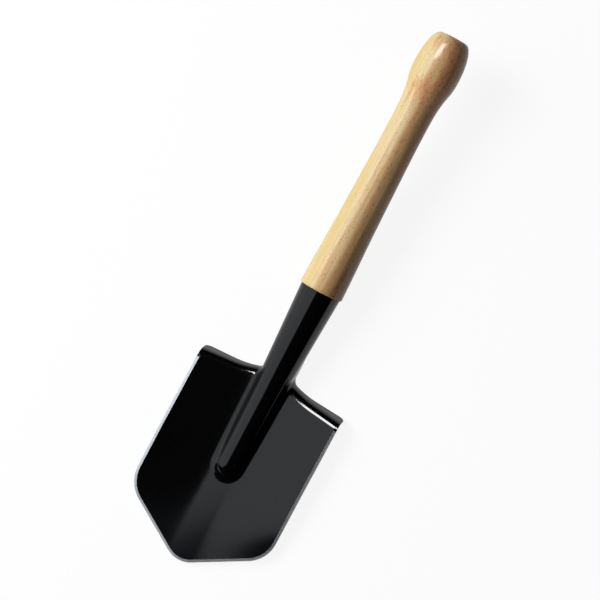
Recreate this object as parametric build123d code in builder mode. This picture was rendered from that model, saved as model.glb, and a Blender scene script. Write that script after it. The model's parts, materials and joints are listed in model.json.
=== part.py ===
# Camp shovel: a stamped steel head with a rolled socket, a turned wooden handle,
# and two wood screws through the back of the socket.
#
# Sizes are in millimetres. The tool frame has Y along the handle, from the blade's tip
# to the knob, and Z out of the front of the blade. The shovel lies on its back, on the
# step's rear edge and the back of the socket, so the tool frame is tilted about X.
from build123d import *
from math import asin, atan2, cos, degrees, hypot, radians, sin, tan
import os

# Overall
overall_length = 520.0
lift = 4.6  # degrees between the blade's face and the handle's axis

# Blade, whose own frame starts at the step, with Y towards the handle
sheet = 2.0
blade_width = 142.5
blade_length = 178.0  # from the tip to the step
blade_drop = 1.0  # from the handle's axis to the blade's front face, at the step
slant = 30.6  # degrees between the blade's slanted edges and a line across it
corner_radius = 30.0
tip_radius = 24.0
dish_start = 20.0  # half width of the flat middle
dish_radius = 250.0
bevel_width = 2.7
bevel_depth = 1.2

# Step, bent back along both shoulders of the blade
step_rise = 3.0  # how much higher the step stands beside the socket
step_depth = 11.0
step_roll = 5.0  # outer radius of the bend
step_corner = 13.0  # radius of the turn between the step and the socket's side
tongue_end = 20.0  # where the turned part of the step ends, beside the socket

# Socket
socket_mouth = 269.5
mouth_radius = 18.95
base_radius = 14.35
seam_gap = 2.0
seam_end = 217.0  # where the seam opens into the V
opening_end = 16.0  # height of the V's wide end above the step
opening_half_width = 12.2
opening_front = 8.0  # how far behind the handle's axis the opening starts

# Rib, from the socket's base to a round nose
nose_y = 95.0
nose_rise = 7.5
nose_radius = 17.5
foot_round = 3.5
overlap = 8.0  # how far the rib and the socket run into each other

# Wooden handle: radii, and heights above the blade's tip
butt_flat = 12.0
knob_radius = 21.65
knob_y = 489.0
neck_radius = 16.55
neck_y = 430.0
grip_points = ((325.0, 18.6), (378.0, 17.3))  # from the shoulder to the neck
knob_points = ((457.0, 17.3), (467.0, 18.7), (476.0, 20.7))  # from the neck to the knob
shoulder_radius = 20.35
shoulder_round = 1.5
tang_end = 192.0
tang_gap = 0.1
tang_chamfer = 1.5

# Wood screws
screw_radius = 2.0
screw_head_radius = 4.0
screw_head_height = 2.3
screw_dome = 4.8
screw_length = 15.0
screw_clearance = 0.05
screw_angle = 38.0  # degrees round the socket from the seam
screw_y = 243.0
screw_point = 4.0  # length of the pointed end
seat_gap = 0.25  # under the flat of the head, which sits on a curved surface
slot_width = 1.0
slot_depth = 1.1

os.makedirs("parts", exist_ok=True)

step_y = blade_length * cos(radians(lift))
half_width = blade_width / 2
point = blade_length + tip_radius * (1 / cos(radians(slant)) - 1)  # where the edges would meet
side_length = point - half_width * tan(radians(slant))
shoulder_y = socket_mouth
socket_taper = (mouth_radius - base_radius) / (socket_mouth - step_y)

# How the shovel lies: the tilt puts the step's rear edge and the V's top on the floor
rear_y = step_y - sheet * cos(radians(lift)) - step_depth * sin(radians(lift))
rear_z = -blade_drop + sheet * sin(radians(lift)) - step_depth * cos(radians(lift))
seam_z = -base_radius - (seam_end - step_y) * socket_taper
tilt = atan2(rear_z - seam_z, seam_end - rear_y)
floor_gap = -seam_z * cos(tilt) - seam_end * sin(tilt)

# The origin is below the middle of the shovel's length
tip_y = -bevel_depth * sin(radians(lift))
tip_z = blade_length * sin(radians(lift)) - blade_drop - bevel_depth
tip_reach = tip_y * cos(tilt) - tip_z * sin(tilt)
butt_reach = (
    knob_y * cos(tilt)
    + butt_flat * sin(tilt)
    + hypot((overall_length - knob_y) * cos(tilt), (knob_radius - butt_flat) * sin(tilt))
)
tool = Plane(
    origin=(0, -(tip_reach + butt_reach) / 2, floor_gap),
    x_dir=(1, 0, 0),
    z_dir=(0, -sin(tilt), cos(tilt)),
)
side = Plane(tool.origin, tool.y_dir, tool.x_dir)
handle_axis = Axis(tool.origin, tool.y_dir)
blade = Plane(
    origin=tool.from_local_coords((0, step_y, -blade_drop)),
    x_dir=(1, 0, 0),
    z_dir=(0, sin(radians(lift) - tilt), cos(radians(lift) - tilt)),
)

# The rib is a cone with a ball end, whose axis sinks behind the blade
crest_z = -blade_drop + (step_y - nose_y) * tan(radians(lift)) + nose_rise
rib_base = side.from_local_coords((step_y, 0, 0))
rib_nose = side.from_local_coords((nose_y, crest_z - nose_radius, 0))
rib_run = (rib_base - rib_nose).length
rib_flare = asin((nose_radius - base_radius) / rib_run)
rib = Plane(rib_nose, (rib_base - rib_nose).normalized(), tool.x_dir)


def in_blade(edge):
    return blade.to_local_coords(edge.center())


def socket_radius(y):
    return base_radius + (y - step_y) * socket_taper


def tang_radius(y):
    return socket_radius(y) - sheet - tang_gap


def screw_seat(angle):
    """The plane under a screw's head, which faces out of the socket's back."""
    outward = Vector(sin(radians(angle)), 0, -cos(radians(angle)))
    seat = outward * (socket_radius(screw_y) + seat_gap) + Vector(0, screw_y, 0)
    return Plane(
        tool.from_local_coords(seat),
        tool.y_dir,
        tool.from_local_coords(outward) - tool.origin,
    )


def screw_form(seat, room):
    """A round-headed wood screw or, with some room round it, the hole that it cuts."""
    with BuildPart() as screw:
        with BuildSketch(Plane(seat.origin, seat.x_dir, seat.x_dir.cross(seat.z_dir))):
            with BuildLine():
                shank = Polyline(
                    (0, -screw_length - room),
                    (screw_radius + room, screw_point - screw_length),
                    (screw_radius + room, 0),
                    (screw_head_radius, 0),
                )
                dome = RadiusArc(shank @ 1, (0, screw_head_height), -screw_dome)
                Line(dome @ 1, shank @ 0)
            make_face()
        revolve(axis=Axis(seat.origin, seat.z_dir))
    return screw


def head_form(inset, back):
    """The head's outer form, as deep as back. With an inset, the hollow behind its sheet."""
    far = 40.0
    with BuildPart() as form:
        # slab with a dished front
        with BuildSketch(Plane(blade.origin, blade.x_dir, -blade.y_dir)):
            with BuildLine():
                flat = Line((0, -inset), (dish_start, -inset))
                wing = JernArc(flat @ 1, (1, 0), dish_radius + inset, 18)
                Polyline(wing @ 1, ((wing @ 1).X, -back), (0, -back), flat @ 0)
            make_face()
            mirror(about=Plane.YZ)
        extrude(amount=blade_length + far, both=True)

        # it ends along the step, which turns up beside the socket
        with BuildSketch(blade):
            with BuildLine():
                Polyline(
                    (0, -blade_length - far),
                    (half_width + far, -blade_length - far),
                    (half_width + far, -inset),
                    (half_width, -inset),
                    (base_radius - inset, step_rise - inset),
                    (base_radius - inset, tongue_end),
                    (0, tongue_end),
                    (0, -blade_length - far),
                )
            make_face()
            fillet(vertices().sort_by_distance((base_radius, step_rise, 0))[0], step_corner + inset)
            mirror(about=Plane.YZ)
        extrude(amount=back + far, both=True, mode=Mode.INTERSECT)
        bend = edges().filter_by(
            lambda e: -inset - 1 < in_blade(e).Y < tongue_end - 1
            and in_blade(e).Z > -inset - 0.1
            and abs(in_blade(e).X) < half_width + 20
        )
        fillet(bend, step_roll - inset)

        # rib
        with BuildSketch(rib):
            with BuildLine():
                ball = nose_radius - inset
                cap = JernArc((-ball, 0), (0, 1), ball, -90 - degrees(rib_flare))
                end = rib_run + overlap
                end_radius = (cap @ 1).Y - (end - (cap @ 1).X) * tan(rib_flare)
                Polyline(cap @ 1, (end, end_radius), (end, 0), cap @ 0)
            make_face()
        revolve(axis=Axis(rib.origin, rib.x_dir))
        foot = edges().filter_by(
            lambda e: abs(in_blade(e).Z + inset) < 0.2
            and abs(in_blade(e).X) < dish_start - 1
            and -blade_length < in_blade(e).Y < tongue_end - 12
        )
        fillet(foot, foot_round + inset)

        # socket
        low = step_y - overlap
        high = socket_mouth + (overlap if inset else 0)
        with BuildSketch(side):
            Polygon(
                (low, 0),
                (high, 0),
                (high, socket_radius(high) - inset),
                (low, socket_radius(low) - inset),
                align=None,
            )
        revolve(axis=handle_axis)
    return form


outer = head_form(0, step_depth)
hollow = head_form(sheet, step_depth + 40)
screw_seats = [screw_seat(-screw_angle), screw_seat(screw_angle)]
screws = [screw_form(seat, 0) for seat in screw_seats]
screw_holes = [screw_form(seat, screw_clearance) for seat in screw_seats]

with BuildPart() as shovel_head:
    add(outer.part)
    add(hollow.part, mode=Mode.SUBTRACT)

    # open space behind the rib
    rib_back = blade_length + opening_end
    with BuildSketch(blade.offset(-step_depth)):
        with Locations((0, opening_end - rib_back / 2)):
            Rectangle(2 * nose_radius, rib_back)
    extrude(amount=-4 * mouth_radius, mode=Mode.SUBTRACT)

    # V in the socket's back
    with BuildSketch(tool.offset(-opening_front)):
        with BuildLine():
            Polyline(
                (0, seam_end),
                (seam_gap / 2, seam_end),
                (opening_half_width, step_y + opening_end),
                (opening_half_width, step_y),
                (0, step_y),
                (0, seam_end),
            )
        make_face()
        mirror(about=Plane.YZ)
    extrude(amount=-4 * mouth_radius, mode=Mode.SUBTRACT)

    # seam
    with BuildSketch(tool):
        with Locations((0, (seam_end + socket_mouth) / 2)):
            Rectangle(seam_gap, socket_mouth - seam_end + 2)
    extrude(amount=-4 * mouth_radius, mode=Mode.SUBTRACT)

    # outline
    with BuildSketch(blade):
        with BuildLine():
            Polyline(
                (0, 100),
                (half_width, 100),
                (half_width, -side_length),
                (0, -point),
                (-half_width, -side_length),
                (-half_width, 100),
                (0, 100),
            )
        make_face()
        for corner in ((half_width, -side_length, 0), (-half_width, -side_length, 0)):
            fillet(vertices().sort_by_distance(corner)[0], corner_radius)
        fillet(vertices().sort_by_distance((0, -blade_length, 0))[0], tip_radius)
    extrude(amount=60, both=True, mode=Mode.INTERSECT)

    # ground edge, round the sides and the point
    tip_edge = edges().sort_by_distance(blade.from_local_coords((0, -blade_length, 0)))[0]
    flat_front = faces().sort_by_distance(blade.from_local_coords((0, 10 - blade_length, 0)))[0]
    chamfer(tip_edge, bevel_width, bevel_depth, reference=flat_front)

    # screw holes
    with BuildSketch(*screw_seats):
        Circle(screw_radius + screw_clearance)
    extrude(amount=3 * sheet, both=True, mode=Mode.SUBTRACT)
shovel_head.part.label = "shovel_head"
export_step(shovel_head.part, "parts/shovel_head.step")

with BuildPart() as handle:
    with BuildSketch(side):
        with BuildLine():
            tang = Polyline(
                (tang_end, 0),
                (tang_end, tang_radius(tang_end) - tang_chamfer),
                (tang_end + tang_chamfer, tang_radius(tang_end)),
                (shoulder_y, tang_radius(shoulder_y)),
                (shoulder_y, shoulder_radius - shoulder_round),
            )
            shoulder = JernArc(tang @ 1, (0, 1), shoulder_round, -90)
            grip = Spline(
                shoulder @ 1,
                *grip_points,
                (neck_y, neck_radius),
                tangents=((1, -0.02), (1, 0)),
            )
            knob = Spline(
                grip @ 1,
                *knob_points,
                (knob_y, knob_radius),
                tangents=((1, 0), (1, 0)),
            )
            butt = EllipticalCenterArc(
                (knob_y, butt_flat),
                overall_length - knob_y,
                knob_radius - butt_flat,
                start_angle=0,
                arc_size=90,
            )
            Polyline(butt @ 0, (overall_length, 0), tang @ 0)
        make_face()
    revolve(axis=handle_axis)
    for form in screw_holes:
        add(form.part, mode=Mode.SUBTRACT)
handle.part.label = "handle"
export_step(handle.part, "parts/handle.step")

with BuildPart() as socket_screws:
    for form in screws:
        add(form.part)
    with BuildSketch(*[seat.offset(screw_head_height) for seat in screw_seats]):
        Rectangle(3 * screw_head_radius, slot_width)
    extrude(amount=-slot_depth, mode=Mode.SUBTRACT)
socket_screws.part.label = "socket_screws"
export_step(socket_screws.part, "parts/socket_screws.step")
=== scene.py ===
import json
from math import atan2, cos, pi, radians, sin, tan

import bpy
import numpy as np
from mathutils import Matrix, Vector


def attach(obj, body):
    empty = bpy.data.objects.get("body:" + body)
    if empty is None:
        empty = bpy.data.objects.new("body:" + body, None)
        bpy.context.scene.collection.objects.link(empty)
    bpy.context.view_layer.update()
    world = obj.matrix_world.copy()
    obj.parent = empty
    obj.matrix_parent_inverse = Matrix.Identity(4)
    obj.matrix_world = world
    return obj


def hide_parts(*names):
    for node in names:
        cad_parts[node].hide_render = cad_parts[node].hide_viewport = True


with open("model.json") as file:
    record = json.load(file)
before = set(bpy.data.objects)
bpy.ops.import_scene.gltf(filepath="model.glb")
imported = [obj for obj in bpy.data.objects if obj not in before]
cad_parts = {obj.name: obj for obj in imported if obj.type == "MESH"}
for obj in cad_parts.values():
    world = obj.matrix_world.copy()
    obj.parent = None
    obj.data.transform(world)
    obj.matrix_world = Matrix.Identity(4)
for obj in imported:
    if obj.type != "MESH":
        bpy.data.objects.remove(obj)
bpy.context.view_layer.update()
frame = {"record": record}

# Camp shovel: a stamped steel head in black enamel, a turned beech handle and two wood screws.
# Lengths in the dictionaries are in millimetres and angles in degrees; Blender gets metres.

mm = 0.001

# The tool frame has y along the handle from the blade's point, and z out of the front
mounts = {mount["name"]: mount for mount in frame["record"]["mounts"]}
toolLength = 520.0
alongHandle = Vector(mounts["butt"]["axis"]).normalized()
outOfFront = Vector((0, -alongHandle.z, alongHandle.y))
toolOrigin = Vector(mounts["butt"]["pos_m"]) / mm - alongHandle * toolLength
toolTilt = atan2(alongHandle.z, alongHandle.y)
print("frame loaded, tool origin", [round(value, 3) for value in toolOrigin])


# Points, n x 3 in the tool frame in mm, as metres in the shared frame
def toWorld(points):
    turned = np.outer(points[:, 0], (1, 0, 0))
    turned += np.outer(points[:, 1], alongHandle) + np.outer(points[:, 2], outOfFront)
    return (turned + np.array(toolOrigin)) * mm


def linear(hexColor):
    channels = [int(hexColor[i:i + 2], 16) / 255 for i in (1, 3, 5)]
    return (*[c / 12.92 if c <= 0.04045 else ((c + 0.055) / 1.055) ** 2.4 for c in channels], 1)


def addNode(tree, kind, inputs=None, stops=None, **settings):
    node = tree.nodes.new(kind)
    for name, value in settings.items():
        setattr(node, name, value)
    for name, value in (inputs or {}).items():
        if isinstance(value, bpy.types.NodeSocket):
            tree.links.new(value, node.inputs[name])
        else:
            node.inputs[name].default_value = value
    for index, (place, color) in enumerate(stops or []):
        ramp = node.color_ramp.elements
        stop = ramp[index] if index < 2 else ramp.new(place)
        stop.position = place
        stop.color = linear(color)
    return node


def newMaterial(name):
    material = bpy.data.materials.new(name)
    material.use_nodes = True
    tree = material.node_tree
    tree.nodes.clear()
    return material, tree


def newPiece(name, vertices, faces, materials):
    mesh = bpy.data.meshes.new(name)
    mesh.from_pydata([tuple(v) for v in vertices], [], faces)
    mesh.validate()
    for material in materials:
        mesh.materials.append(material)
    mesh.shade_smooth()
    piece = bpy.data.objects.new(name, mesh)
    bpy.context.scene.collection.objects.link(piece)
    return piece


camera = {
    "target": (-12.9, -5.8, 20.0),
    "distance": 1800.0,
    "lens": 122.0,
    "lean": 28.2,  # how far the handle leans to the right
    "pitch": -1.48,  # of the view from straight down
    "paintedShadeSide": 9.0,  # of the view, towards the shovel's right
}


def makeCamera():
    lean, pitch, paintedShadeSide = (radians(camera[k]) for k in ("lean", "pitch", "paintedShadeSide"))
    back = Vector((sin(paintedShadeSide), sin(pitch) * cos(paintedShadeSide), cos(pitch) * cos(paintedShadeSide)))
    right = Vector((cos(lean), sin(lean), 0))
    right = (right - back * right.dot(back)).normalized()
    up = back.cross(right)
    data = bpy.data.cameras.new("productCamera")
    data.lens = camera["lens"]
    data.sensor_width = 36
    data.clip_start, data.clip_end = 0.05, 50
    holder = bpy.data.objects.new("productCamera", data)
    place = Matrix((right, up, back)).transposed().to_4x4()
    place.translation = (Vector(camera["target"]) + back * camera["distance"]) * mm
    holder.matrix_world = place
    bpy.context.scene.collection.objects.link(holder)
    bpy.context.scene.camera = holder


makeCamera()
print("camera ready")


studio = {
    "height": 2.4,  # of the lights above the paper, in metres
    "boxTint": (0.95, 0.99, 1.04),
    "boxRadiance": 0.85,
    "boxStart": (-0.38, -0.61),
    "boxEnds": (-3.5, 0.6),  # from that point, along the box's near edge
    "boxEdge": (0.62, 0.785, 0),  # direction of that edge
    "boxAway": (-0.785, 0.62, 0),  # from it to the far edge, which hangs lower
    "boxReach": 2.6,
    "boxHang": 2.3,
    "fillAngle": 49.0,  # of the fill's middle from straight up, to the left
    "fillDistance": 2.6,
    "fillSize": 1.4,
    "fillRadiance": 8.7,
    "backRadiance": 0.1,  # of a weak light from the right
    "backCorner": (2.4, -0.8, 0.3),
    "backSize": (1.6, 1.2),
    "streakRadiance": 22.0,
    "streakCorner": (-1.58, 0.55),
    "streakSize": (1.0, 1.3),
    "world": 0.004,
    "paper": 0.7,  # how bright the paper is in reflections
    "bounce": 0.14,  # how much light it throws back
    "paperShade": 0.12,  # how much of the shadows it shows
    "paperGlow": 0.9,
    "paperReach": 12.0,
}


# A flat area light from a corner, an edge across and an edge down, in metres. It shines to the shovel.
def panel(name, corner, across, down, radiance, glossy=True, diffuse=True, tint=(1, 1, 1)):
    corner, across, down = Vector(corner), Vector(across), Vector(down)
    data = bpy.data.lights.new(name, "AREA")
    data.shape = "RECTANGLE"
    data.size, data.size_y = across.length, down.length
    data.energy = radiance * pi * across.length * down.length
    data.color = tint
    light = bpy.data.objects.new(name, data)
    centre = corner + (across + down) / 2
    x = across.normalized()
    z = x.cross(down).normalized()
    if z.dot(centre) < 0:
        z = -z
    y = z.cross(x)
    place = Matrix((x, y, z)).transposed().to_4x4()
    place.translation = centre
    light.matrix_world = place
    light.visible_camera = False
    light.visible_glossy = glossy
    light.visible_diffuse = diffuse
    bpy.context.scene.collection.objects.link(light)


def makeStudio():
    height = studio["height"]
    edge = Vector(studio["boxEdge"])
    away = Vector(studio["boxAway"])
    first, last = studio["boxEnds"]
    start = Vector((*studio["boxStart"], height)) + edge * first
    across = edge * (last - first)
    down = away * studio["boxReach"] + Vector((0, 0, -studio["boxHang"]))
    panel("softBox", start, across, down, studio["boxRadiance"], tint=studio["boxTint"])
    angle, size = radians(studio["fillAngle"]), studio["fillSize"]
    middle = Vector((-sin(angle), 0, cos(angle))) * studio["fillDistance"]
    across, down = Vector((0, size, 0)), Vector((cos(angle), 0, sin(angle))) * size
    panel("softFill", middle - (across + down) / 2, across, down, studio["fillRadiance"], glossy=False)
    wide, high = studio["backSize"]
    corner = studio["backCorner"]
    panel("backFill", corner, (0, wide, 0), (0, 0, high), studio["backRadiance"], glossy=False)
    corner = (*studio["streakCorner"], height)
    wide, deep = studio["streakSize"]
    panel("streakLight", corner, (wide, 0, 0), (0, deep, 0), studio["streakRadiance"], diffuse=False)

    world = bpy.data.worlds.new("studioWorld")
    bpy.context.scene.world = world
    world.use_nodes = True
    tree = world.node_tree
    tree.nodes.clear()
    path = addNode(tree, "ShaderNodeLightPath")
    dark = addNode(tree, "ShaderNodeBackground", {"Color": (1, 1, 1, 1), "Strength": studio["world"]})
    white = addNode(tree, "ShaderNodeBackground", {"Color": (1, 1, 1, 1), "Strength": 1.0})
    mix = addNode(tree, "ShaderNodeMixShader", {
        0: path.outputs["Is Camera Ray"], 1: dark.outputs[0], 2: white.outputs[0],
    })
    addNode(tree, "ShaderNodeOutputWorld", {"Surface": mix.outputs[0]})

    material, tree = newMaterial("whitePaper")
    path = addNode(tree, "ShaderNodeLightPath")
    paper = addNode(tree, "ShaderNodeEmission", {"Color": (1, 1, 1, 1), "Strength": studio["paper"]})
    shaded = addNode(tree, "ShaderNodeBsdfDiffuse", {"Color": (studio["bounce"],) * 3 + (1,)})
    unseen = addNode(tree, "ShaderNodeMixShader", {
        0: path.outputs["Is Diffuse Ray"], 1: paper.outputs[0], 2: shaded.outputs[0],
    })
    lit = addNode(tree, "ShaderNodeBsdfDiffuse", {"Color": (studio["paperShade"],) * 3 + (1,)})
    glow = addNode(tree, "ShaderNodeEmission", {"Color": (1, 1, 1, 1), "Strength": studio["paperGlow"]})
    seen = addNode(tree, "ShaderNodeAddShader", {0: lit.outputs[0], 1: glow.outputs[0]})
    mix = addNode(tree, "ShaderNodeMixShader", {
        0: path.outputs["Is Camera Ray"], 1: unseen.outputs[0], 2: seen.outputs[0],
    })
    addNode(tree, "ShaderNodeOutputMaterial", {"Surface": mix.outputs[0]})
    far = studio["paperReach"]
    corners = [(-far, -far, 0), (far, -far, 0), (far, far, 0), (-far, far, 0)]
    floor = newPiece("floor", corners, [(0, 1, 2, 3)], [material])
    bpy.context.scene.view_settings.view_transform = "Standard"


makeStudio()
print("studio ready")


head = {
    "sheet": 2.0,
    "halfWidth": 71.25,
    "length": 178.0,  # from the point to the step
    "lift": 4.6,  # between the blade's face and the handle's axis
    "drop": 1.0,  # of the face below the axis, at the step
    "slant": 30.6,
    "cornerRadius": 30.0,
    "tipRadius": 24.0,
    "dishStart": 10.0,
    "dishTurn": 12.0,  # how far the dish takes to reach its slope
    "dishSlope": 0.125,
    "tipDish": 0.25,  # share of the dish that is left at the point
    "tipDishEnd": 160.0,  # below the step, where that share starts to grow
    "tipDishRun": 90.0,
    "groundWidth": 2.7,
    "groundDepth": 1.2,
    "groundFade": 4.0,  # over which the ground edge ends, below the step's bend
    "stepRise": 3.0,
    "stepShift": 2.0,  # of the step's free edge, towards the handle
    "stepDepth": 9.9,
    "stepRoll": 6.0,
    "stepLean": 20.0,  # of the step's wall, away from the blade
    "stepSweep": 4.5,  # how much the step curves up beside the socket
    "sweepRun": 28.0,
    "sweepMost": 1.2,
    "flangeCorner": 6.0,
    "wallRound": 5.0,  # between the step and the socket's side
    "footRound": 4.0,
    "footRun": 12.0,  # over which the foot's rounding turns into the wall's
    "socketMouth": 269.5,
    "mouthRadius": 18.95,
    "baseRadius": 14.35,
    "tubeBend": 12.0,  # half the length of the bend between rib and socket
    "noseY": 95.0,
    "noseRise": 7.5,
    "noseRadius": 13.0,
    "seamGap": 2.0,
    "seamEnd": 217.0,
    "openingEnd": 16.0,
    "openingHalfWidth": 12.2,
    "backStart": 20.0,  # below the step, where the back's own section starts
    "squarest": 10.0,
    "squareStart": 6.0,  # above the step, where the back's section begins to grow round
    "squareRun": 30.0,
    "edgeSpare": 1.8,  # how much deeper the free edge may go, further from the step
    "spareStart": 19.0,
    "spareRun": 20.0,
    "rimRound": 0.3,
    "edgeInset": 0.5,  # of the sheet's front edge, for its rounded rim and the dish's slope
}

headMesh = {
    "tip": 40,  # points round the blade's point
    "corner": 60,  # points round its corner
    "across": 24,
    "wing": 44,
    "below": 130,  # rows below the step
    "above": 56,  # rows along the socket
    "curtain": 14,  # rows down the step's wall
    "rollShare": 8,  # of them, in the bend
    "ground": 4,
    "back": 80,  # points that measure the back's curve
    "wallTurn": 20,
    "wallStraight": 40,
    "footX": 16.0,  # half width of the centre block at the ground edge
    "footMargin": 1.5,  # of the block beside the rib
    "footEnd": 0.1,  # share of the rows over which that margin ends
    "noseLead": 5.0,
    "noseRun": 30.0,
    "cornerX": 17.0,  # where the face, the step and the socket's side meet
    "cornerY": 0.5,
    "cornerShare": 6.0,
    "relax": 30,
    "relaxShare": 0.5,
    "leastSlope": 0.04,
    "longestMove": 2.0,
    "sharp": 22.0,
}

lift = radians(head["lift"])
stepLean = radians(head["stepLean"])
stepY = head["length"] * cos(lift)
socketTaper = (head["mouthRadius"] - head["baseRadius"]) / (head["socketMouth"] - stepY)
ribRun = stepY - head["noseY"]
ribFlare = (head["noseRadius"] - head["baseRadius"]) / ribRun

# How far below the step its bend starts, and where the rib's axis is at its nose
bendStart = head["stepDepth"] * tan(stepLean) + head["stepRoll"] * tan(pi / 4 - stepLean / 2)
ribSink = -head["drop"] + ribRun * tan(lift) + head["noseRise"] - head["noseRadius"]


def smoothStep(value):
    value = np.clip(value, 0, 1)
    return value * value * (3 - 2 * value)


def ramp(value, width):
    return np.where(value > width, value, np.where(value < -width, 0, (value + width) ** 2 / (4 * width)))


def lengthAlong(x, y):
    return np.concatenate(([0], np.cumsum(np.hypot(np.diff(x), np.diff(y)))))


# The blade's frame starts at the step, with y along the blade's face
def bladeToTool(x, y, z):
    along = stepY + y * cos(lift) + z * sin(lift)
    out = -head["drop"] - y * sin(lift) + z * cos(lift)
    return np.stack((x, along, out), -1)


def toolToBlade(points):
    y, z = points[..., 1] - stepY, points[..., 2] + head["drop"]
    return points[..., 0], y * cos(lift) - z * sin(lift), y * sin(lift) + z * cos(lift)


def dish(x, y):
    grown = smoothStep((y + head["tipDishEnd"]) / head["tipDishRun"])
    share = head["tipDish"] + (1 - head["tipDish"]) * grown
    out, turn = np.maximum(np.abs(x) - head["dishStart"], 0), head["dishTurn"]
    return share * head["dishSlope"] * (np.hypot(out, turn) - turn)


def stepLine(x):
    out = np.abs(x) - head["baseRadius"]
    rise = head["stepRise"] * (1 - out / (head["halfWidth"] - head["baseRadius"]))
    sweep = np.clip(1 - out / head["sweepRun"], 0, head["sweepMost"]) ** 2
    return head["stepShift"] + rise + head["stepSweep"] * sweep


# The radius of the rib and socket at y, and the height of their axis
def tube(y):
    bend = head["tubeBend"]
    down = ramp(stepY - np.maximum(y, head["noseY"]), bend)
    radius = head["baseRadius"] + ramp(y - stepY, bend) * socketTaper + down * ribFlare
    return radius, down * ribSink / ribRun


# 2 where the socket's back is round, more where it opens into the step's two walls
def squareness(y):
    most = head["squarest"]
    return most - (most - 2) * smoothStep((y - stepY - head["squareStart"]) / head["squareRun"])


# The distance in front of the head's outer surface, roughly, negative inside
def headField(points):
    x, y, z = toolToBlade(points)
    face = z - dish(x, y)
    step = (y - stepLine(x)) * cos(stepLean) + (z + head["stepDepth"]) * sin(stepLean)
    roll = head["stepRoll"]
    bend = np.hypot(np.maximum(face + roll, 0), np.maximum(step + roll, 0))
    slab = np.minimum(-roll, np.maximum(face, step)) + bend

    radius, sink = tube(points[..., 1])
    paintedShadeSide, height = np.abs(points[..., 0]), points[..., 2] - sink
    nose = np.minimum(points[..., 1] - head["noseY"], 0)
    front = np.sqrt(paintedShadeSide ** 2 + height ** 2 + nose ** 2) - radius
    power = squareness(points[..., 1])
    back = radius * (((paintedShadeSide / radius) ** power + (np.abs(height) / radius) ** power) ** (1 / power) - 1)
    centre = np.where((height < 0) & (points[..., 1] > stepY - head["backStart"]), back, front)

    run = head["footRun"]
    blend = head["footRound"] + (head["wallRound"] - head["footRound"]) * smoothStep((step + run) / run)
    bend = np.hypot(np.maximum(blend - slab, 0), np.maximum(blend - centre, 0))
    return np.maximum(blend, np.minimum(slab, centre)) - bend


def slope(points):
    small = 0.01
    sides = [headField(points + small * axis) - headField(points - small * axis) for axis in np.eye(3)]
    return np.stack(sides, -1) / (2 * small)


# Moves the points onto the surface, along the axes that each is free on
def settle(points, freedom, rounds):
    longest = headMesh["longestMove"]
    for _ in range(rounds):
        gradient = slope(points) * freedom
        steepness = np.maximum((gradient ** 2).sum(-1), headMesh["leastSlope"])
        move = headField(points) / steepness
        points = points - np.clip(move, -longest, longest)[:, None] * gradient
    return points


# The blade's outline from the point to the step: x, y, the length along it and that of the corner's middle
def outline(inset):
    slant = radians(head["slant"])
    tip, corner = head["tipRadius"], head["cornerRadius"]
    cornerX = head["halfWidth"] - corner
    sharpY = -head["length"] - tip * (1 / cos(slant) - 1)
    cornerY = sharpY + (corner + sin(slant) * cornerX) / cos(slant)
    turn = np.linspace(-pi / 2, -pi / 2 + slant, headMesh["tip"])
    bend = np.linspace(-pi / 2 + slant, 0, headMesh["corner"])
    tipX = (tip - inset) * np.cos(turn)
    tipY = -head["length"] + tip + (tip - inset) * np.sin(turn)
    bendX = cornerX + (corner - inset) * np.cos(bend)
    bendY = cornerY + (corner - inset) * np.sin(bend)
    x = np.concatenate((tipX, bendX, [head["halfWidth"] - inset]))
    y = np.concatenate((tipY, bendY, [0]))
    along = lengthAlong(x, y)
    return x, y, along, along[headMesh["tip"] + headMesh["corner"] // 2]


# Points along the outline, below the centre block, below the wing block and beside it
def edgeParts(inset):
    x, y, along, middle = outline(inset)
    curved = headMesh["tip"] + headMesh["corner"]
    foot = np.interp(headMesh["footX"], x[:curved], along[:curved])
    ends = (0, foot, middle, along[-1] - bendStart)
    counts = (headMesh["across"], headMesh["wing"], headMesh["below"])
    parts = []
    for start, end, count in zip(ends, ends[1:], counts):
        at = np.linspace(start, end, count + 1)
        parts.append((np.interp(at, along, x), np.interp(at, along, y)))
    return parts


# The same points in one row, as x and y
def edgeRow(parts):
    return [np.concatenate((parts[0][n], parts[1][n][1:], parts[2][n][1:])) for n in (0, 1)]


# How far round the socket's back, in radians below its side, the sheet ends at y
def freeEdge(y):
    radius, _ = tube(y)
    power = squareness(y)
    share = np.clip((head["seamEnd"] - y) / (head["seamEnd"] - stepY - head["openingEnd"]), 0, 1)
    x = head["seamGap"] / 2 + share * (head["openingHalfWidth"] - head["seamGap"] / 2) + head["rimRound"]
    byWidth = np.arccos(np.clip(x / radius, 0, 1) ** (power / 2))
    up = np.maximum(y - stepY, 0)
    spare = head["edgeSpare"] * smoothStep((up - head["spareStart"]) / head["spareRun"])
    deep = head["stepDepth"] - head["rimRound"] + head["drop"] + up * tan(toolTilt) + spare
    byDepth = np.arcsin(np.clip(deep / radius, 0, 1) ** (power / 2))
    return np.minimum(byWidth, byDepth)


# Count + 1 points round the socket's back at y, from its side to the sheet's free edge
def backCurve(y, count):
    radius, _ = tube(y)
    power = squareness(y)
    angle = np.linspace(0, freeEdge(y), headMesh["back"])
    x, z = radius * np.cos(angle) ** (2 / power), -radius * np.sin(angle) ** (2 / power)
    along = lengthAlong(x, z)
    at = np.linspace(0, along[-1], count + 1)
    return np.interp(at, along, x), np.interp(at, along, z)


# Adds points in the tool frame, free to move along the axes marked 1, and gives their numbers
def put(sheet, points, free):
    first = len(sheet["points"])
    points = np.asarray(points, float).reshape(-1, 3)
    sheet["points"].extend(points)
    sheet["freedom"].extend([free] * len(points))
    return np.arange(first, first + len(points))


def hold(sheet, numbers, free):
    for n in numbers:
        sheet["freedom"][n] = free


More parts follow.
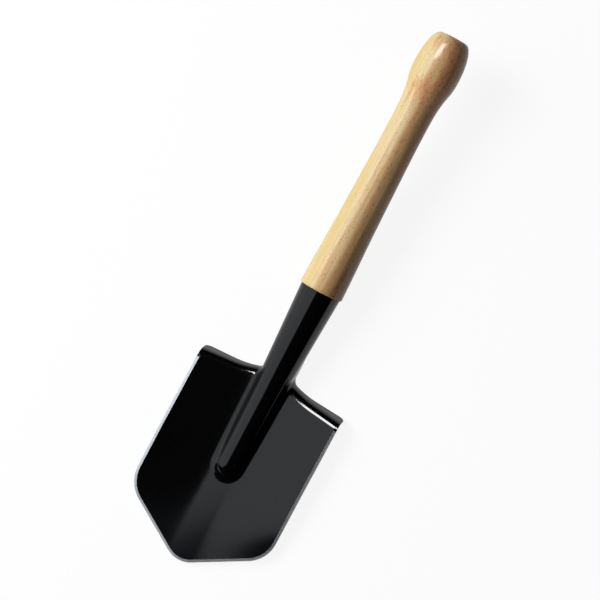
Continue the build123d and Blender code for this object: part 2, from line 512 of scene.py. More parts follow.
# A row over the rib and its foot, from the middle out; share is the way up from the ground edge to the step
def ribRow(share, edgeX, edgeY):
    y = edgeY + (headMesh["cornerY"] - edgeY) * share
    mid = stepY + y.mean() * cos(lift)
    radius, sink = tube(mid)
    faceZ = -head["drop"] - (mid - stepY) * tan(lift)
    wide = np.arccos(np.clip((faceZ - sink) / radius, -1, 1))
    end = headMesh["footEnd"]
    foot = radius * sin(wide) + headMesh["footMargin"] * (1 - smoothStep((share - (1 - end)) / end))
    beyond = stepY + headMesh["cornerY"] - mid - ribRun + headMesh["noseLead"]
    low = smoothStep(beyond / headMesh["noseRun"])
    out = np.arange(len(edgeX)) / (len(edgeX) - 1)
    x = (1 - low) * foot * np.sin(wide * out) / sin(wide) + low * edgeX
    dip = np.maximum(head["noseY"] - (stepY + y * cos(lift)), 0)
    top = sink + np.sqrt(np.maximum(radius ** 2 - dip ** 2 - x ** 2, 0))
    flat = bladeToTool(x, y, dish(x, y))
    z = np.where(np.abs(x) < radius, np.maximum(top, flat[:, 2]), flat[:, 2])
    return np.stack((x, flat[:, 1], z), -1)


# A row round the socket's front, from the middle to its side; share is the way up from the step to the mouth
def socketRow(share, count):
    start = headMesh["cornerY"]
    y = stepY + start + (head["socketMouth"] - head["rimRound"] - stepY - start) * share
    radius, sink = tube(y)
    angle = np.arange(count) / (count - 1) * pi / 2
    return np.stack((radius * np.sin(angle), np.full(count, y), sink + radius * np.cos(angle)), -1)


def centreBlock(sheet, edge):
    below, above = headMesh["below"], headMesh["above"]
    count = headMesh["across"] + 1
    rows = np.concatenate((np.linspace(0, 1, below + 1), 1 + np.linspace(0, 1, above + 1)[1:]))
    block = np.zeros((count, len(rows)), int)
    for j, row in enumerate(rows):
        points = ribRow(row, *edge[0]) if row <= 1 else socketRow(row - 1, count)
        block[:, j] = put(sheet, points, (1, 1, 1))
    hold(sheet, block[0], (0, 1, 1))
    hold(sheet, block[:, 0], (0, 0, 1))
    hold(sheet, block[:, -1], (1, 0, 1))
    sheet["points"][block[-1, below]] = bladeToTool(headMesh["cornerX"], headMesh["cornerY"], 0.0)
    return block


# A grid of values between those on its four sides
def between(bottom, top, left, right):
    out = np.linspace(0, 1, len(bottom))[:, None]
    up = np.linspace(0, 1, len(left))[None]
    grid = (1 - up) * bottom[:, None] + up * top[:, None] + (1 - out) * left[None] + out * right[None]
    grid = grid - (1 - out) * (1 - up) * bottom[0] - out * (1 - up) * bottom[-1]
    return grid - (1 - out) * up * top[0] - out * up * top[-1]


# The blade beside the rib
def wingBlock(sheet, centre, edge):
    wing, below = headMesh["wing"], headMesh["below"]
    (bottomX, bottomY), (sideX, sideY) = edge[1:]
    leftX, leftY, _ = toolToBlade(np.array([sheet["points"][n] for n in centre[-1, :below + 1]]))
    share = np.linspace(0, 1, wing + 1)
    topX = leftX[-1] + (head["halfWidth"] - head["groundWidth"] - leftX[-1]) * share
    topY = stepLine(topX) - bendStart
    topY = topY + (leftY[-1] - topY) * (1 - smoothStep(share * headMesh["cornerShare"]))
    gridX = between(bottomX, topX, leftX, sideX)
    gridY = between(bottomY, topY, leftY, sideY)
    block = np.zeros((wing + 1, below + 1), int)
    block[0] = centre[-1, :below + 1]
    for n in range(1, wing + 1):
        x, y = gridX[n], gridY[n]
        block[n] = put(sheet, bladeToTool(x, y, dish(x, y)), (1, 1, 1))
    hold(sheet, block[1:, 0], (0, 0, 1))
    hold(sheet, block[-1, 1:-1], (0, 0, 1))
    hold(sheet, block[-1, -1:], (0, 1, 1))
    return block


# Down the step's wall, from a place on the face over the bend to the free edge
def wallPoints(startX, startY, atX, atY):
    curtain, rollShare = headMesh["curtain"], headMesh["rollShare"]
    rounding, rim = head["flangeCorner"], head["rimRound"]
    over = np.clip(atX - head["halfWidth"] + rounding, 0, rounding)
    chord = np.sqrt(rounding ** 2 - np.minimum(over, rounding - rim) ** 2)
    bottom = -head["stepDepth"] + rim + rounding - chord
    topY = atY - (head["stepDepth"] - head["stepRoll"]) * tan(stepLean)
    points = []
    for m in range(1, curtain + 1):
        angle = min(m / rollShare, 1) * pi / 2
        x = startX + (atX - startX) * sin(angle)
        y = startY + (topY - startY) * sin(angle)
        z = dish(startX, startY) - head["stepRoll"] * (1 - cos(angle))
        if m > rollShare:
            share = (m - rollShare) / (curtain - rollShare)
            y = topY + (atY - topY) * share
            z = z + (bottom - z) * share
        points.append(bladeToTool(x, y, z))
    return points


def curtainBlock(sheet, wing):
    turn = np.linspace(pi / 4, pi / 2, headMesh["wallTurn"])
    turnX = head["baseRadius"] + head["wallRound"] * (1 - np.cos(turn))
    turnY = stepLine(turnX[-1]) + head["wallRound"] * (1 - np.sin(turn))
    straightX = np.linspace(turnX[-1], head["halfWidth"], headMesh["wallStraight"])[1:]
    wallX = np.concatenate((turnX, straightX))
    wallY = np.concatenate((turnY, stepLine(straightX)))
    along = lengthAlong(wallX, wallY)
    end = along[-1] - head["groundWidth"]
    block = np.zeros((len(wing), headMesh["curtain"] + 1), int)
    block[:, 0] = wing[:, -1]
    for n, share in enumerate(np.linspace(0, 1, len(wing))):
        at = end * share
        startX, startY, _ = toolToBlade(sheet["points"][block[n, 0]])
        points = wallPoints(startX, startY, np.interp(at, along, wallX), np.interp(at, along, wallY))
        block[n, 1:] = put(sheet, points, (1, 1, 1))
    hold(sheet, block[:, -1], (1, 1, 0))
    hold(sheet, block[-1, 1:], (0, 1, 0))
    return block


# The socket's back, from its side to the seam and the V
def backBlock(sheet, centre, curtain):
    above, count = headMesh["above"], headMesh["curtain"]
    block = np.zeros((count + 1, above + 1), int)
    block[:, 0] = curtain[0]
    block[0] = centre[-1, headMesh["below"]:]
    lead = np.array([sheet["points"][n][1] for n in curtain[0]]) - sheet["points"][curtain[0, 0]][1]
    for j in range(1, above + 1):
        share = j / above
        start = sheet["points"][block[0, j]][1]
        points = []
        for m in range(1, count + 1):
            y = start + lead[m] * (1 - share)
            x, z = backCurve(y, count)
            points.append((x[m], y, z[m]))
        block[1:, j] = put(sheet, points, (1, 1, 1))
    hold(sheet, block[-1, 1:], (1, 0, 1))
    hold(sheet, block[1:, -1], (1, 0, 1))
    return block


# The ground edge and the step's ends, and how many rows belong to the edge
def groundBlock(sheet, centre, wing, curtain, edge):
    ground = headMesh["ground"]
    path = np.concatenate((centre[:, 0], wing[1:, 0], wing[-1, 1:], curtain[-1, 1:]))
    inX, inY = edgeRow(edge)
    outX, outY = edgeRow(edgeParts(head["edgeInset"]))
    flat = len(inX)
    block = np.zeros((len(path), ground + 1), int)
    block[:, 0] = path
    for r in range(1, ground + 1):
        share = r / ground
        x, y = inX + (outX - inX) * share, inY + (outY - inY) * share
        block[:flat, r] = put(sheet, bladeToTool(x, y, dish(x, y)), (0, 0, 1))
        block[flat:, r] = put(sheet, wallPoints(x[-1], y[-1], x[-1], stepLine(x[-1])), (0, 1, 0))
    hold(sheet, block[flat - 1, 1:], (0, 1, 1))
    return block, flat


def quads(block):
    a, b, c, d = block[:-1, :-1], block[1:, :-1], block[1:, 1:], block[:-1, 1:]
    return np.stack((a, b, c, d), -1).reshape(-1, 4)


# The right half of the sheet's outer surface, before it settles
def headSheet():
    sheet = {"points": [], "freedom": []}
    edge = edgeParts(head["groundWidth"])
    centre = centreBlock(sheet, edge)
    wing = wingBlock(sheet, centre, edge)
    curtain = curtainBlock(sheet, wing)
    back = backBlock(sheet, centre, curtain)
    ground, flat = groundBlock(sheet, centre, wing, curtain, edge)
    faces = [quads(centre), quads(wing), quads(curtain), quads(back), quads(ground)[:, ::-1]]
    return np.array(sheet["points"]), np.array(sheet["freedom"], float), faces, ground, flat


# Evens out the inner points along the surface, a little at a time
def relax(points, freedom, faces):
    corners = np.concatenate(faces)
    edges = np.concatenate([corners[:, (a, (a + 1) % 4)] for a in range(4)])
    edges = np.unique(np.sort(edges, 1), axis=0)
    first, second = edges[:, 0], edges[:, 1]
    size = len(points)
    count = np.bincount(edges.ravel(), minlength=size)[:, None]
    onCentre = (np.abs(points[:, :1]) < 1e-9) & (freedom[:, 1:].all(1))[:, None]
    inside = freedom.all(1)[:, None] | onCentre
    for _ in range(headMesh["relax"]):
        total = np.stack([
            np.bincount(first, points[second, axis], size) + np.bincount(second, points[first, axis], size)
            for axis in range(3)
        ], -1)
        points = points + inside * freedom * (total / count - points) * headMesh["relaxShare"]
        points = settle(points, freedom, 2)
    return settle(points, freedom, 6)


# Rounded rims between the two surfaces: adds their vertices, and gives their quads and materials
def rims(corners, front, back, normals, ground, vertices):
    used = dict.fromkeys(edge for q in corners for edge in zip(q, np.roll(q, -1)))
    border = [(a, b) for a, b in used if (b, a) not in used]
    outward = {}
    for a, b in border:
        tangent = front[b] - front[a]
        tangent /= np.linalg.norm(tangent)
        for n in (a, b):
            outward[n] = outward.get(n, 0) + np.cross(tangent, normals[n])
    rings = {}
    for n, direction in outward.items():
        direction = direction / np.linalg.norm(direction)
        ring = [n]
        for share, bulge in ((0.1, 0.75), (0.3, 1.0), (0.7, 1.0), (0.9, 0.75)):
            ring.append(len(vertices))
            place = front[n] * (1 - share) + back[n] * share
            vertices.append(place + direction * bulge * head["rimRound"])
        rings[n] = ring + [len(front) + n]
    faces, material = [], []
    for a, b in border:
        steelRim = ground[a] > 0.5 and ground[b] > 0.5
        for level in range(5):
            faces.append((rings[b][level], rings[a][level], rings[a][level + 1], rings[b][level + 1]))
            material.append(int(steelRim))
    return faces, material


def makeHead(enamel, steel):
    points, freedom, faces, strip, flat = headSheet()
    points = settle(points, freedom, 8)
    points = relax(points, freedom, faces)
    normals = slope(points)
    normals /= np.linalg.norm(normals, axis=1)[:, None]
    off = round(float(np.abs(headField(points)).max()), 4)
    print("head sheet settled,", len(points), "points on each side, off by", off)

    # the ground edge thins the front, most at its outer side
    back = points - normals * head["sheet"]
    _, y, _ = toolToBlade(points)
    edge, run = strip[:flat], head["groundFade"]
    ground = np.zeros(len(points))
    ground[edge] = 1 - smoothStep((y[edge] + bendStart + run) / run)
    thinned = np.zeros(len(points))
    thinned[edge] = ground[edge] * (np.arange(strip.shape[1]) / headMesh["ground"])
    front = points - np.outer(thinned * head["groundDepth"], (0, sin(lift), cos(lift)))

    # the left half is the right one's mirror image, joined on the centre line
    size = len(points)
    onCentre = np.abs(points[:, 0]) < 1e-6
    mirrored = np.where(onCentre, np.arange(size), size + np.cumsum(~onCentre) - 1)
    flip = np.array((-1, 1, 1))
    halves = (front, back, normals)
    front, back, normals = (np.concatenate((half, half[~onCentre] * flip)) for half in halves)
    ground = np.concatenate((ground, ground[~onCentre]))
    corners = np.concatenate(faces)
    isGround = np.zeros(2 * len(corners), bool)
    corners = np.concatenate((corners, mirrored[corners][:, ::-1]))
    stripCount = len(faces[-1])
    for last in (len(corners) // 2, len(corners)):
        isGround[last - stripCount:last] = ground[corners[last - stripCount:last]].min(1) > 0.5

    vertices = [*front, *back]
    rimFaces, rimMaterial = rims(corners, front, back, normals, ground, vertices)
    allFaces = [tuple(q) for q in corners] + [tuple(len(front) + q[::-1]) for q in corners] + rimFaces
    material = [int(g) for g in isGround] + [0] * len(corners) + rimMaterial
    piece = newPiece("enamelledHead", toWorld(np.array(vertices)), allFaces, [enamel, steel])
    piece.data.polygons.foreach_set("material_index", material)
    piece.data.set_sharp_from_angle(angle=radians(headMesh["sharp"]))
    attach(piece, "root")
    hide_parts("shovel_head")
    print("head made,", len(allFaces), "faces")


enamelLook = {
    "black": "#030304",
    "grain": "#0c0d0f",
    "grainSize": 0.9,  # finer on the real sheet, drawn this coarse so that it shows
    "peelSize": 1.6,
    "peelDepth": 0.006,
    "dust": "#5a5c60",
    "dustSpacing": 26.0,
    "dustSize": 0.3,
    "roughness": 0.1,
}


# Coordinates in millimetres along the tool frame, with x across and y along the handle
def toolSpace(tree, scale=(1, 1, 1)):
    turn = Matrix.Rotation(-toolTilt, 3, "X")
    centre = turn @ (toolOrigin * mm)
    coordinates = addNode(tree, "ShaderNodeTexCoord")
    place = addNode(tree, "ShaderNodeMapping", {
        "Vector": coordinates.outputs["Object"],
        "Location": -centre,
        "Rotation": (-toolTilt, 0, 0),
    })
    size = addNode(tree, "ShaderNodeVectorMath", {
        0: place.outputs[0], 1: [s / mm for s in scale],
    }, operation="MULTIPLY")
    return size.outputs[0]


# Stove enamel, baked on in a thick coat: deep black, glossy, a little uneven, with specks of dust in it
def makeEnamel():
    look = enamelLook
    material, tree = newMaterial("blackStoveEnamel")
    space = toolSpace(tree)
    grain = addNode(tree, "ShaderNodeTexNoise", {
        "Vector": space, "Scale": 1 / look["grainSize"], "Detail": 2,
    })
    base = addNode(tree, "ShaderNodeValToRGB", {"Fac": grain.outputs["Fac"]},
                   [(0.42, look["black"]), (0.72, look["grain"])])
    dust = addNode(tree, "ShaderNodeTexVoronoi", {"Vector": space, "Scale": 1 / look["dustSpacing"]})
    radius = look["dustSize"] / look["dustSpacing"]
    speck = addNode(tree, "ShaderNodeMapRange", {
        "Value": dust.outputs["Distance"],
        "From Min": radius,
        "From Max": 2 * radius,
        "To Min": 1,
        "To Max": 0,
    })
    color = addNode(tree, "ShaderNodeMix", {
        "Factor": speck.outputs[0], "A": base.outputs[0], "B": linear(look["dust"]),
    }, data_type="RGBA")
    peel = addNode(tree, "ShaderNodeTexNoise", {"Vector": space, "Scale": 1 / look["peelSize"], "Detail": 1})
    bump = addNode(tree, "ShaderNodeBump", {
        "Height": peel.outputs["Fac"], "Distance": look["peelDepth"] * mm, "Strength": 1,
    })
    shader = addNode(tree, "ShaderNodeBsdfPrincipled", {
        "Base Color": color.outputs["Result"],
        "Roughness": look["roughness"],
        "IOR": 1.52,
        "Normal": bump.outputs[0],
    })
    addNode(tree, "ShaderNodeOutputMaterial", {"Surface": shader.outputs[0]})
    return material


steelLook = {
    "light": "#d6dbe0",
    "dark": "#a6acb2",
    "scratch": 0.5,  # spacing of the grinder's marks, coarser than the real ones so that they show
    "scratchLength": 6.0,
    "scratchDepth": 0.02,
    "screw": "#9a9da2",
    "screwDark": "#6f7277",
    "patch": 1.4,
}


# Bare sheet steel, ground on a wheel: pale grey with fine marks across the edge, and a satin shine
def makeGroundSteel():
    look = steelLook
    material, tree = newMaterial("groundSheetSteel")
    marks = toolSpace(tree, (1 / look["scratchLength"], 1 / look["scratch"], 1 / look["scratch"]))
    scratch = addNode(tree, "ShaderNodeTexNoise", {"Vector": marks, "Scale": 1, "Detail": 3})
    color = addNode(tree, "ShaderNodeValToRGB", {"Fac": scratch.outputs["Fac"]},
                    [(0.3, look["dark"]), (0.7, look["light"])])
    bump = addNode(tree, "ShaderNodeBump", {
        "Height": scratch.outputs["Fac"], "Distance": look["scratchDepth"] * mm, "Strength": 1,
    })
    shader = addNode(tree, "ShaderNodeBsdfPrincipled", {
        "Base Color": color.outputs[0],
        "Metallic": 0.35,
        "Roughness": 0.5,
        "Normal": bump.outputs[0],
    })
    addNode(tree, "ShaderNodeOutputMaterial", {"Surface": shader.outputs[0]})
    return material


# Turned steel of the wood screws: a dull silver, darker in patches
def makeScrewSteel():
    look = steelLook
    material, tree = newMaterial("turnedScrewSteel")
    space = toolSpace(tree)
    patch = addNode(tree, "ShaderNodeTexNoise", {"Vector": space, "Scale": 1 / look["patch"], "Detail": 4})
    color = addNode(tree, "ShaderNodeValToRGB", {"Fac": patch.outputs["Fac"]},
                    [(0.35, look["screwDark"]), (0.62, look["screw"])])
    rough = addNode(tree, "ShaderNodeMapRange", {
        "Value": patch.outputs["Fac"], "To Min": 0.5, "To Max": 0.24,
    })
    shader = addNode(tree, "ShaderNodeBsdfPrincipled", {
        "Base Color": color.outputs[0],
        "Metallic": 1,
        "Roughness": rough.outputs[0],
    })
    addNode(tree, "ShaderNodeOutputMaterial", {"Surface": shader.outputs[0]})
    return material


makeHead(makeEnamel(), makeGroundSteel())


wood = {
    "tangEnd": 192.0,
    "tangGap": 0.1,
    "tangChamfer": 1.5,
    "shoulder": 20.35,
    "shoulderRound": 1.5,
    "gripSlope": -0.02,  # at the shoulder
    "grip": ((325.0, 18.6), (378.0, 17.3)),  # places along the handle and radii
    "neck": (430.0, 16.55),
    "knobRise": ((457.0, 17.3), (467.0, 18.7), (476.0, 20.7)),
    "knob": (489.0, 21.65),
    "buttFlat": 12.0,
    "mouthGap": 0.05,  # between the shoulder and the socket's mouth
    "around": 96,
    "tangRows": 12,
    "shoulderRows": 7,
    "gripRows": 48,
    "riseRows": 40,
    "knobRows": 26,
    "buttShares": (0.92, 0.6, 0.25),  # rings on the flat end
}

woodLook = {
    "straw": "#eed28e",
    "cream": "#f4dca6",
    "honey": "#eabd80",
    "pink": "#e6a070",
    "late": "#d39a64",  # the darker edge of each year's growth
    "pore": "#a8522e",
    "ringSpacing": 2.4,
    "pith": (-38.0, -52.0),
    "streakWidth": 7.0,
    "streakLength": 260.0,
    "fibreWidth": 0.7,
    "fibreLength": 24.0,
    "poreWidth": 1.15,  # between pores, which are wider than real ones so that they show
    "poreLength": 5.0,
    "poreDepth": 0.03,
    "roughness": 0.42,
    "varnish": 0.4,
}


# A smooth curve through the points, with the given slopes at its two ends
def smoothCurve(points, startSlope, endSlope, at):
    y, r = np.array(points, float).T
    gap = np.diff(y)
    rise = np.diff(r) / gap
    size = len(y)
    system = np.eye(size)
    target = np.full(size, float(startSlope))
    target[-1] = endSlope
    for n in range(1, size - 1):
        system[n, n - 1:n + 2] = gap[n], 2 * (gap[n - 1] + gap[n]), gap[n - 1]
        target[n] = 3 * (gap[n] * rise[n - 1] + gap[n - 1] * rise[n])
    slopes = np.linalg.solve(system, target)
    n = np.clip(np.searchsorted(y, at) - 1, 0, size - 2)
    t = (at - y[n]) / gap[n]
    return (
        (1 + 2 * t) * (1 - t) ** 2 * r[n] + t * (1 - t) ** 2 * gap[n] * slopes[n]
        + t * t * (3 - 2 * t) * r[n + 1] + t * t * (t - 1) * gap[n] * slopes[n + 1]
    )


def socketRadius(y):
    return head["baseRadius"] + (y - stepY) * socketTaper


# Vertices and faces of a turned shape, from rows of place and radius; both ends are closed at a pole
def turned(profile, around):
    angle = np.linspace(0, 2 * pi, around, endpoint=False)
    rings = [np.stack((r * np.cos(angle), np.full(around, y), r * np.sin(angle)), -1) for y, r in profile]
    vertices = np.concatenate([*rings, [(0, profile[0][0], 0), (0, profile[-1][0], 0)]])
    last = len(profile) - 1
    faces = []
    for i in range(around):
        j = (i + 1) % around
        faces.append((len(vertices) - 2, i, j))
        faces.append((len(vertices) - 1, last * around + j, last * around + i))
        for row in range(last):
            a, b = row * around, (row + 1) * around
            faces.append((a + i, b + i, b + j, a + j))
    return vertices, faces


# Beech, turned and varnished: straw to pink at random, with the right side painted pinker as painted shade,
# darker rings cut at a slant, short red-brown pores, satin
def makeBeech():
    look = woodLook
    material, tree = newMaterial("varnishedBeech")
    pithX, pithZ = look["pith"]
    space = toolSpace(tree)

    wide, long = look["streakWidth"], look["streakLength"]
    streakSpace = addNode(tree, "ShaderNodeVectorMath", {
        0: space, 1: (1 / wide, 1 / long, 1 / wide),
    }, operation="MULTIPLY")
    streak = addNode(tree, "ShaderNodeTexNoise", {"Vector": streakSpace.outputs[0], "Scale": 1, "Detail": 2})
    # painted shade: across the handle the tone shifts from straw on its left side to pink on its right side,
    # the side away from the lights
    apart = addNode(tree, "ShaderNodeSeparateXYZ", {"Vector": space})
    paintedShadeSide = addNode(tree, "ShaderNodeMapRange", {
        "Value": apart.outputs["X"], "From Min": -20, "From Max": 10, "To Min": -0.25, "To Max": 0.2,
    })
    streakAndShadeTone = addNode(tree, "ShaderNodeMath", {0: streak.outputs["Fac"], 1: paintedShadeSide.outputs[0]}, operation="ADD")
    base = addNode(tree, "ShaderNodeValToRGB", {"Fac": streakAndShadeTone.outputs[0]}, [
        (0.28, look["straw"]), (0.7, look["pink"]), (0.42, look["cream"]), (0.54, look["honey"]),
    ])

    ringSpace = addNode(tree, "ShaderNodeVectorMath", {
        0: space, 1: (1, 0.03, 1), 2: (-pithX, 0, -pithZ),
    }, operation="MULTIPLY_ADD")
    rings = addNode(tree, "ShaderNodeTexWave", {
        "Vector": ringSpace.outputs[0],
        "Scale": 2 * pi / (20 * look["ringSpacing"]),
        "Distortion": 5.0,
        "Detail": 3,
        "Detail Scale": 0.6,
    }, wave_type="RINGS", rings_direction="Y", wave_profile="SAW")
    ringShare = addNode(tree, "ShaderNodeMapRange", {
        "Value": rings.outputs["Fac"], "From Min": 0.35, "From Max": 1.0, "To Min": 0, "To Max": 0.24,
    })
    ringed = addNode(tree, "ShaderNodeMix", {
        "Factor": ringShare.outputs[0], "A": base.outputs[0], "B": linear(look["late"]),
    }, data_type="RGBA")

    fine, run = look["fibreWidth"], look["fibreLength"]
    fibreSpace = addNode(tree, "ShaderNodeVectorMath", {
        0: space, 1: (1 / fine, 1 / run, 1 / fine),
    }, operation="MULTIPLY")
    fibre = addNode(tree, "ShaderNodeTexNoise", {"Vector": fibreSpace.outputs[0], "Scale": 1, "Detail": 3})
    shade = addNode(tree, "ShaderNodeMapRange", {
        "Value": fibre.outputs["Fac"], "From Min": 0.3, "From Max": 0.7, "To Min": 0.9, "To Max": 1.06,
    })
    fibred = addNode(tree, "ShaderNodeVectorMath", {
        0: ringed.outputs["Result"], 1: shade.outputs[0],
    }, operation="MULTIPLY")

    wide, long = look["poreWidth"], look["poreLength"]
    poreSpace = addNode(tree, "ShaderNodeVectorMath", {
        0: space, 1: (1 / wide, 1 / long, 1 / wide),
    }, operation="MULTIPLY")
    pore = addNode(tree, "ShaderNodeTexVoronoi", {"Vector": poreSpace.outputs[0], "Scale": 1})
    # pores crowd where the tone is higher, so there are also more of them on the right side, whose tone
    # carries painted shade
    crowd = addNode(tree, "ShaderNodeMapRange", {
        "Value": streakAndShadeTone.outputs[0], "From Min": 0.3, "From Max": 0.75, "To Min": 0.17, "To Max": 0.36,
    })
    near = addNode(tree, "ShaderNodeMath", {
        0: crowd.outputs[0], 1: pore.outputs["Distance"],
    }, operation="SUBTRACT")
    poreShare = addNode(tree, "ShaderNodeMapRange", {
        "Value": near.outputs[0], "From Min": 0, "From Max": 0.14, "To Min": 0, "To Max": 0.75,
    })
    color = addNode(tree, "ShaderNodeMix", {
        "Factor": poreShare.outputs[0], "A": fibred.outputs[0], "B": linear(look["pore"]),
    }, data_type="RGBA")

    height = addNode(tree, "ShaderNodeMath", {
        0: poreShare.outputs[0], 1: -0.3, 2: fibre.outputs["Fac"],
    }, operation="MULTIPLY_ADD")
    bump = addNode(tree, "ShaderNodeBump", {
        "Height": height.outputs[0], "Distance": look["poreDepth"] * mm, "Strength": 1,
    })
    shader = addNode(tree, "ShaderNodeBsdfPrincipled", {
        "Base Color": color.outputs["Result"],
        "Roughness": look["roughness"],
        "IOR": 1.5,
        "Specular IOR Level": 0.35,
        "Coat Weight": look["varnish"],
        "Coat Roughness": 0.12,
        "Normal": bump.outputs[0],
    })
    addNode(tree, "ShaderNodeOutputMaterial", {"Surface": shader.outputs[0]})
    return material


def tangRadius(y):
    return socketRadius(y) - head["sheet"] - wood["tangGap"]


# Places along the handle and radii, from the tang's end to the flat butt
def handleProfile():
    end, chamfer, rounding = wood["tangEnd"], wood["tangChamfer"], wood["shoulderRound"]
    start = head["socketMouth"] + wood["mouthGap"]
    profile = [(end, tangRadius(end) - chamfer), (end + chamfer, tangRadius(end))]
    profile += [(y, tangRadius(y)) for y in np.linspace(end + 10, start, wood["tangRows"])]
    for turn in np.linspace(0, pi / 2, wood["shoulderRows"]):
        profile.append((start + rounding * (1 - cos(turn)), wood["shoulder"] - rounding * (1 - sin(turn))))
    gripStart = (start + rounding, wood["shoulder"])
    at = np.linspace(gripStart[0], wood["neck"][0], wood["gripRows"])[1:]
    profile += zip(at, smoothCurve([gripStart, *wood["grip"], wood["neck"]], wood["gripSlope"], 0, at))
    at = np.linspace(wood["neck"][0], wood["knob"][0], wood["riseRows"])[1:]
    profile += zip(at, smoothCurve([wood["neck"], *wood["knobRise"], wood["knob"]], 0, 0, at))
    knobY, knobRadius = wood["knob"]
    flat = wood["buttFlat"]
    for turn in np.linspace(0, pi / 2, wood["knobRows"])[1:]:
        profile.append((knobY + (toolLength - knobY) * sin(turn), flat + (knobRadius - flat) * cos(turn)))
    return profile + [(toolLength, flat * share) for share in wood["buttShares"]]


def makeHandle(beech):
    vertices, faces = turned(handleProfile(), wood["around"])
    piece = newPiece("turnedHandle", toWorld(vertices), faces, [beech])
    piece.data.set_sharp_from_angle(angle=radians(30))
    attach(piece, "root")
    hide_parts("handle")
    print("handle turned,", len(faces), "faces")


makeHandle(makeBeech())


screw = {
    "count": 2,
    "place": 243.0,  # along the handle, from the blade's point
    "angle": 38.0,  # from the seam, to each side
    "seatGap": 0.25,
    "headRadius": 4.0,
    "headHeight": 2.3,
    "dome": 4.8,
    "radius": 2.0,
    "length": 15.0,
    "point": 4.0,
    "blunt": 0.2,  # how much of the point is missing
    "slotWidth": 1.0,
    "slotDepth": 1.1,
    "around": 48,
}


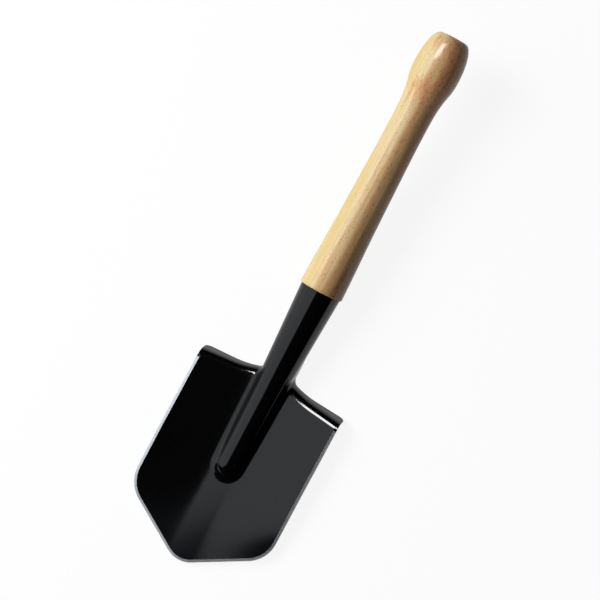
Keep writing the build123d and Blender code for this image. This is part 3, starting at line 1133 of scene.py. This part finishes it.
# Screws that stand round the socket, from one that points along z, in the tool frame in mm
def screwTree():
    tree = bpy.data.node_groups.new("screwsRoundSocket", "GeometryNodeTree")
    tree.interface.new_socket("Geometry", in_out="INPUT", socket_type="NodeSocketGeometry")
    lengths = ("Place", "Seat Radius", "Angle", "Head Height", "Slot Width", "Slot Length", "Slot Depth")
    kinds = {"Count": "Int", **dict.fromkeys(lengths, "Float"), "Steel": "Material"}
    for name, kind in kinds.items():
        tree.interface.new_socket(name, in_out="INPUT", socket_type="NodeSocket" + kind)
    tree.interface.new_socket("Geometry", in_out="OUTPUT", socket_type="NodeSocketGeometry")
    given = addNode(tree, "NodeGroupInput").outputs

    # the slot, a cube that is centred on the top of the dome
    deep = addNode(tree, "ShaderNodeMath", {0: given["Slot Depth"], 1: 2.0}, operation="MULTIPLY")
    size = addNode(tree, "ShaderNodeCombineXYZ", {
        "X": given["Slot Width"], "Y": given["Slot Length"], "Z": deep.outputs[0],
    })
    top = addNode(tree, "ShaderNodeCombineXYZ", {"Z": given["Head Height"]})
    cube = addNode(tree, "GeometryNodeMeshCube", {"Size": size.outputs[0]})
    cutter = addNode(tree, "GeometryNodeTransform", {
        "Geometry": cube.outputs["Mesh"], "Translation": top.outputs[0],
    })
    slotted = addNode(tree, "GeometryNodeMeshBoolean", {
        "Mesh 1": given["Geometry"], "Mesh 2": cutter.outputs["Geometry"],
    }, operation="DIFFERENCE")

    # angles from one side of the seam to the other
    seats = addNode(tree, "GeometryNodeMeshLine", {"Count": given["Count"]})
    index = addNode(tree, "GeometryNodeInputIndex")
    gaps = addNode(tree, "ShaderNodeMath", {0: given["Count"], 1: 1.0}, operation="SUBTRACT")
    share = addNode(tree, "ShaderNodeMath", {0: index.outputs[0], 1: gaps.outputs[0]}, operation="DIVIDE")
    sided = addNode(tree, "ShaderNodeMath", {0: share.outputs[0], 1: 2.0, 2: -1.0}, operation="MULTIPLY_ADD")
    angle = addNode(tree, "ShaderNodeMath", {0: sided.outputs[0], 1: given["Angle"]}, operation="MULTIPLY")
    lean = addNode(tree, "ShaderNodeMath", {0: pi, 1: angle.outputs[0]}, operation="SUBTRACT")
    out = addNode(tree, "ShaderNodeMath", {0: lean.outputs[0]}, operation="SINE")
    high = addNode(tree, "ShaderNodeMath", {0: lean.outputs[0]}, operation="COSINE")
    x = addNode(tree, "ShaderNodeMath", {0: out.outputs[0], 1: given["Seat Radius"]}, operation="MULTIPLY")
    z = addNode(tree, "ShaderNodeMath", {0: high.outputs[0], 1: given["Seat Radius"]}, operation="MULTIPLY")
    place = addNode(tree, "ShaderNodeCombineXYZ", {
        "X": x.outputs[0], "Y": given["Place"], "Z": z.outputs[0],
    })
    placed = addNode(tree, "GeometryNodeSetPosition", {
        "Geometry": seats.outputs["Mesh"], "Position": place.outputs[0],
    })
    euler = addNode(tree, "ShaderNodeCombineXYZ", {"Y": lean.outputs[0]})
    turn = addNode(tree, "FunctionNodeEulerToRotation", {"Euler": euler.outputs[0]})
    stood = addNode(tree, "GeometryNodeInstanceOnPoints", {
        "Points": placed.outputs[0], "Instance": slotted.outputs["Mesh"], "Rotation": turn.outputs[0],
    })
    real = addNode(tree, "GeometryNodeRealizeInstances", {"Geometry": stood.outputs[0]})
    finished = addNode(tree, "GeometryNodeSetMaterial", {
        "Geometry": real.outputs[0], "Material": given["Steel"],
    })
    addNode(tree, "NodeGroupOutput", {"Geometry": finished.outputs[0]})
    return tree


def makeScrews(steel):
    s = screw
    middle = s["headHeight"] - s["dome"]  # height of the dome's centre
    start = atan2(-middle, s["headRadius"])
    profile = [(s["blunt"] - s["length"], s["radius"] * s["blunt"] / s["point"])]
    profile += [(s["point"] - s["length"], s["radius"]), (0, s["radius"])]
    for turn in np.linspace(start, pi / 2, 12)[:-1]:
        profile.append((middle + s["dome"] * sin(turn), s["dome"] * cos(turn)))
    vertices, faces = turned(profile, s["around"])
    blank = newPiece("screwBlank", vertices[:, (2, 0, 1)], faces, [steel])

    tree = screwTree()
    modifier = blank.modifiers.new("screwsRoundSocket", "NODES")
    modifier.node_group = tree
    sizes = {
        "Count": s["count"],
        "Place": s["place"],
        "Seat Radius": socketRadius(s["place"]) + s["seatGap"],
        "Angle": radians(s["angle"]),
        "Head Height": s["headHeight"],
        "Slot Width": s["slotWidth"],
        "Slot Length": 3 * s["headRadius"],
        "Slot Depth": s["slotDepth"],
        "Steel": steel,
    }
    for socket in tree.interface.items_tree:
        if socket.name in sizes:
            modifier[socket.identifier] = sizes[socket.name]
    evaluated = blank.evaluated_get(bpy.context.evaluated_depsgraph_get())
    mesh = bpy.data.meshes.new_from_object(evaluated)
    blank.modifiers.remove(modifier)
    bpy.data.objects.remove(blank)

    mesh.vertices.foreach_set("co", toWorld(np.array([v.co for v in mesh.vertices])).ravel())
    mesh.shade_smooth()
    mesh.set_sharp_from_angle(angle=radians(30))
    piece = bpy.data.objects.new("woodScrews", mesh)
    bpy.context.scene.collection.objects.link(piece)
    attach(piece, "root")
    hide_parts("socket_screws")
    print("screws made,", len(mesh.polygons), "faces")


makeScrews(makeScrewSteel())
